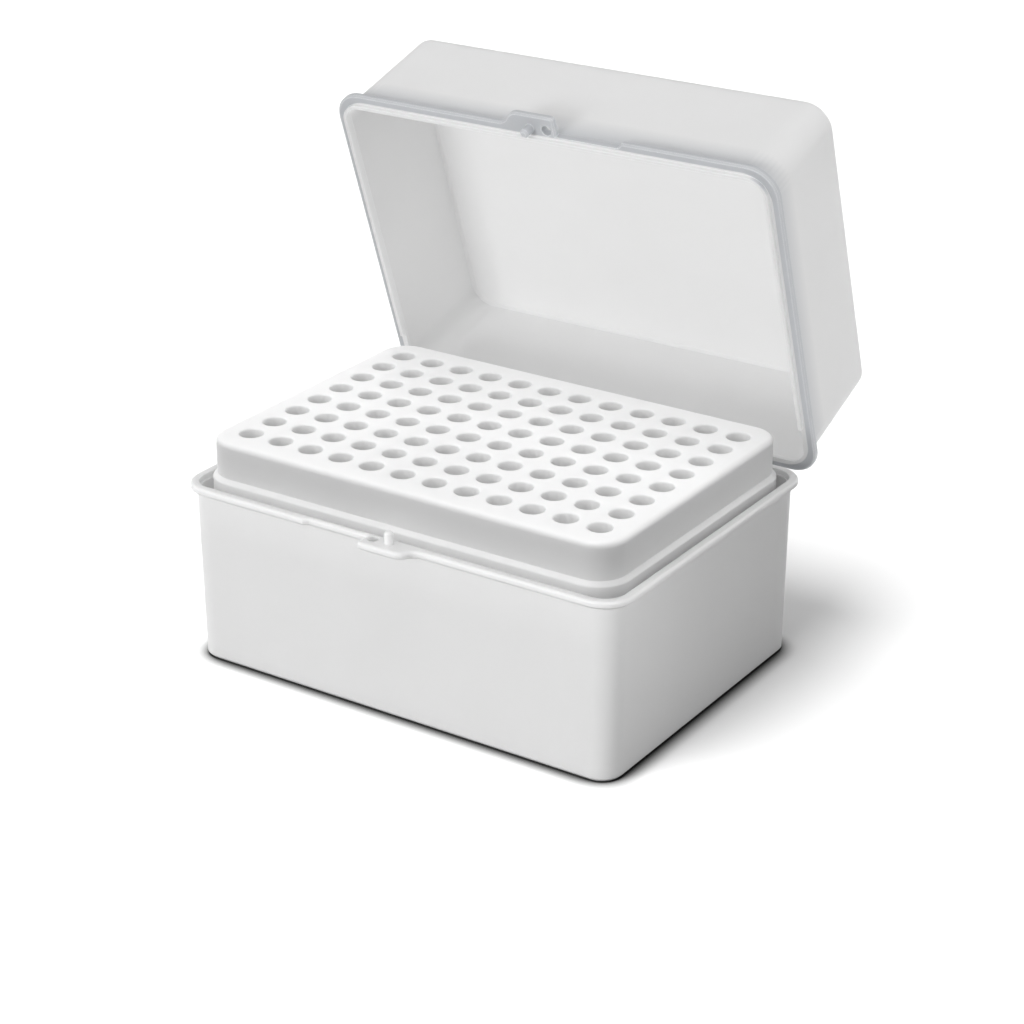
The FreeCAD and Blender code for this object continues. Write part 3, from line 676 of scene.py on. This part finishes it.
def add_floor():
    """White paper with a painted contact shadow, darker where the box touches it;
    it sends less light back than it shows, so that the box's walls keep their shade."""
    half = FLOOR_HALF
    floor = place("floor", [
        (-half, -half, 0), (half, -half, 0), (half, half, 0), (-half, half, 0),
    ], [(0, 1, 2, 3)])
    paint = bpy.data.materials.new("white_paper_sweep")
    paint.use_nodes = True
    tree = paint.node_tree
    tree.nodes.clear()
    # Painted contact shadow: the paper's colour goes dark where occlusion finds the box within
    # reach.
    near = add_node(tree, "ShaderNodeAmbientOcclusion", {"samples": 24}, {
        "Distance": TOUCH_REACH,
    })
    painted_contact_shadow = add_node(tree, "ShaderNodeMapRange", {"interpolation_type": "SMOOTHSTEP"}, {
        "Value": near.outputs["AO"], "From Min": 0.42, "From Max": 0.99,
    })
    paper = add_node(tree, "ShaderNodeMix", {"data_type": "RGBA"}, {
        "Factor": painted_contact_shadow.outputs["Result"], "A": linear("#2c2c2c"), "B": linear("#ffffff"),
    })
    shown = add_node(tree, "ShaderNodeBsdfDiffuse", {}, {"Color": paper.outputs["Result"]})
    bounced = add_node(tree, "ShaderNodeBsdfDiffuse", {}, {"Color": linear("#606060")})
    mixed = add_node(tree, "ShaderNodeMixShader", {}, {
        "Fac": seen_rays(tree), 1: bounced.outputs["BSDF"], 2: shown.outputs["BSDF"],
    })
    add_node(tree, "ShaderNodeOutputMaterial", {}, {"Surface": mixed.outputs["Shader"]})
    floor.data.materials.append(paint)
    return floor


def add_world():
    """Soft room light, behind a white that only the camera and mirrors see."""
    world = bpy.data.worlds.new("studio")
    bpy.context.scene.world = world
    world.use_nodes = True
    tree = world.node_tree
    tree.nodes.clear()
    looking = add_node(tree, "ShaderNodeTexCoord").outputs["Generated"]
    side = add_node(tree, "ShaderNodeVectorMath", {"operation": "DOT_PRODUCT"}, {
        0: looking, 1: Vector(WINDOW_SIDE).normalized(),
    })
    strength = add_node(tree, "ShaderNodeMapRange", {}, {
        "Value": side.outputs["Value"], "From Min": -1.0, "From Max": 1.0,
        "To Min": ROOM_DARKEST, "To Max": ROOM_LIGHTEST,
    })
    soft = add_node(tree, "ShaderNodeBackground", {}, {
        "Color": linear("#ffffff"), "Strength": strength.outputs["Result"],
    })
    white = add_node(tree, "ShaderNodeBackground", {}, {
        "Color": linear("#ffffff"), "Strength": 1.0,
    })
    mixed = add_node(tree, "ShaderNodeMixShader", {}, {
        "Fac": seen_rays(tree), 1: soft.outputs["Background"], 2: white.outputs["Background"],
    })
    add_node(tree, "ShaderNodeOutputWorld", {}, {"Surface": mixed.outputs["Shader"]})


def add_camera():
    """Camera in front, to the right and above, looking down at the box."""
    scene = bpy.context.scene
    camera = bpy.data.cameras.new("camera")
    camera.sensor_width = CAMERA_SENSOR
    camera.lens = CAMERA_LENS
    eye = bpy.data.objects.new("camera", camera)
    azimuth, elevation = math.radians(CAMERA_AZIMUTH), math.radians(CAMERA_ELEVATION)
    back = Vector((
        math.sin(azimuth) * math.cos(elevation),
        -math.cos(azimuth) * math.cos(elevation),
        math.sin(elevation),
    ))
    eye.location = CAMERA_TARGET + back * CAMERA_DISTANCE
    eye.rotation_euler = (-back).to_track_quat("-Z", "Y").to_euler()
    scene.collection.objects.link(eye)
    scene.camera = eye


def add_lamps(floor):
    """Lamps, each with its direction, level and softness, then what it lights and
    what may shade that."""
    base, lid = frame["nodes"]["base"], frame["nodes"]["lid"]
    rack = bpy.data.objects["tip_rack_moulding"]
    add_sun("base_key", (-0.30, -0.90, 0.12), 0.77, 28, [base])
    add_sun("lid_key", (-0.10, -0.96, 0.04), 0.67, 28, [lid])
    add_sun("back_fill", (0.30, 0.90, 0.20), 0.30, 60, [base, lid, rack])
    add_sun("side_fill", (0.95, -0.10, 0.15), 0.12, 60, [base])
    add_sun("lid_fill", (0.90, -0.10, 0.20), 0.34, 60, [lid])
    add_sun("table_glow", (0.10, 0.45, -0.90), 0.48, 60, [lid], [base, rack])
    add_sun("flange_top", (0.00, -0.10, 1.0), 0.20, 20, [base])
    add_softbox(
        "corner_box", (0.110, -0.044, 0.045), (0.060, -0.040, 0.03), 0.03, 0.25, [base],
    )
    add_sun("overhead", (-0.15, -0.08, 1.0), 0.16, 44, [rack], [rack])
    add_sun("overhead_by_lid", (-0.15, -0.08, 1.0), 0.28, 44, [rack], [rack, lid])
    add_sun("rack_front", (-0.15, -0.70, 0.70), 0.16, 40, [rack], [rack])
    add_sun("floor_key", (-0.20, -0.65, 0.73), 0.98, 36, [floor], [base, rack])
    add_sun("floor_left", (-0.60, -0.15, 0.78), 0.10, 40, [floor], [base, rack])


bpy.context.scene.view_settings.view_transform = "Standard"
floor_sheet = add_floor()
add_world()
add_lamps(floor_sheet)
add_camera()
